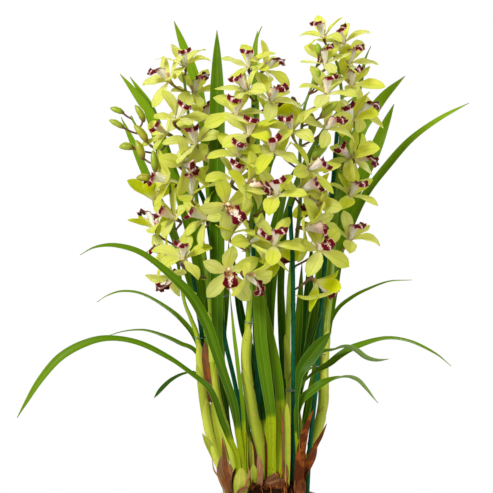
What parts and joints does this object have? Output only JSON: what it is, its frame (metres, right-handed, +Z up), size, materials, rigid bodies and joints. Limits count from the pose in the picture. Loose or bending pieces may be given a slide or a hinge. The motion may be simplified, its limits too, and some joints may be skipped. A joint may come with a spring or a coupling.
{
  "type": "potted orchid",
  "caption": "Flowering orchid with upright flower spikes on support canes, arching strap leaves and egg-shaped bulbs, growing in a plain round pot.",
  "frame": {"origin": "the middle of the underside of the pot's foot, on the surface that the pot stands on", "axes": "+Z up along the pot's axis, +X to the right of the plant's front, +Y from the front to the back"},
  "size_m": [0.5906, 0.234, 0.7575],
  "materials": {
    "pale_ceramic": "pale grey, satin glazed",
    "bark_mix": "damp dark bark and fibre",
    "yellow_green_flower": "waxy pale yellow-green petals, burgundy spotted lips, green stems",
    "strap_leaf": "mid green, softly glossy, with fine lengthwise veins",
    "green_cane": "dark green stained",
    "tie_wire": "green coated wire"
  },
  "bodies": {
    "root": {"pot": "pale_ceramic", "growing_mix": "bark_mix", "flower_spike_1": "yellow_green_flower", "flower_spike_2": "yellow_green_flower", "flower_spike_3": "yellow_green_flower", "flower_spike_4": "yellow_green_flower", "flower_spike_5": "yellow_green_flower", "leafy_shoot_1": "strap_leaf", "leafy_shoot_2": "strap_leaf", "leafy_shoot_3": "strap_leaf", "leafy_shoot_4": "strap_leaf", "leafy_shoot_5": "strap_leaf", "leafy_shoot_6": "strap_leaf", "support_cane_1": "green_cane", "support_cane_2": "green_cane", "support_cane_3": "green_cane", "support_cane_4": "green_cane", "support_cane_5": "green_cane", "wire_tie_1": "tie_wire", "wire_tie_2": "tie_wire", "wire_tie_3": "tie_wire", "wire_tie_4": "tie_wire", "wire_tie_5": "tie_wire", "wire_tie_6": "tie_wire"}
  },
  "joints": []
}
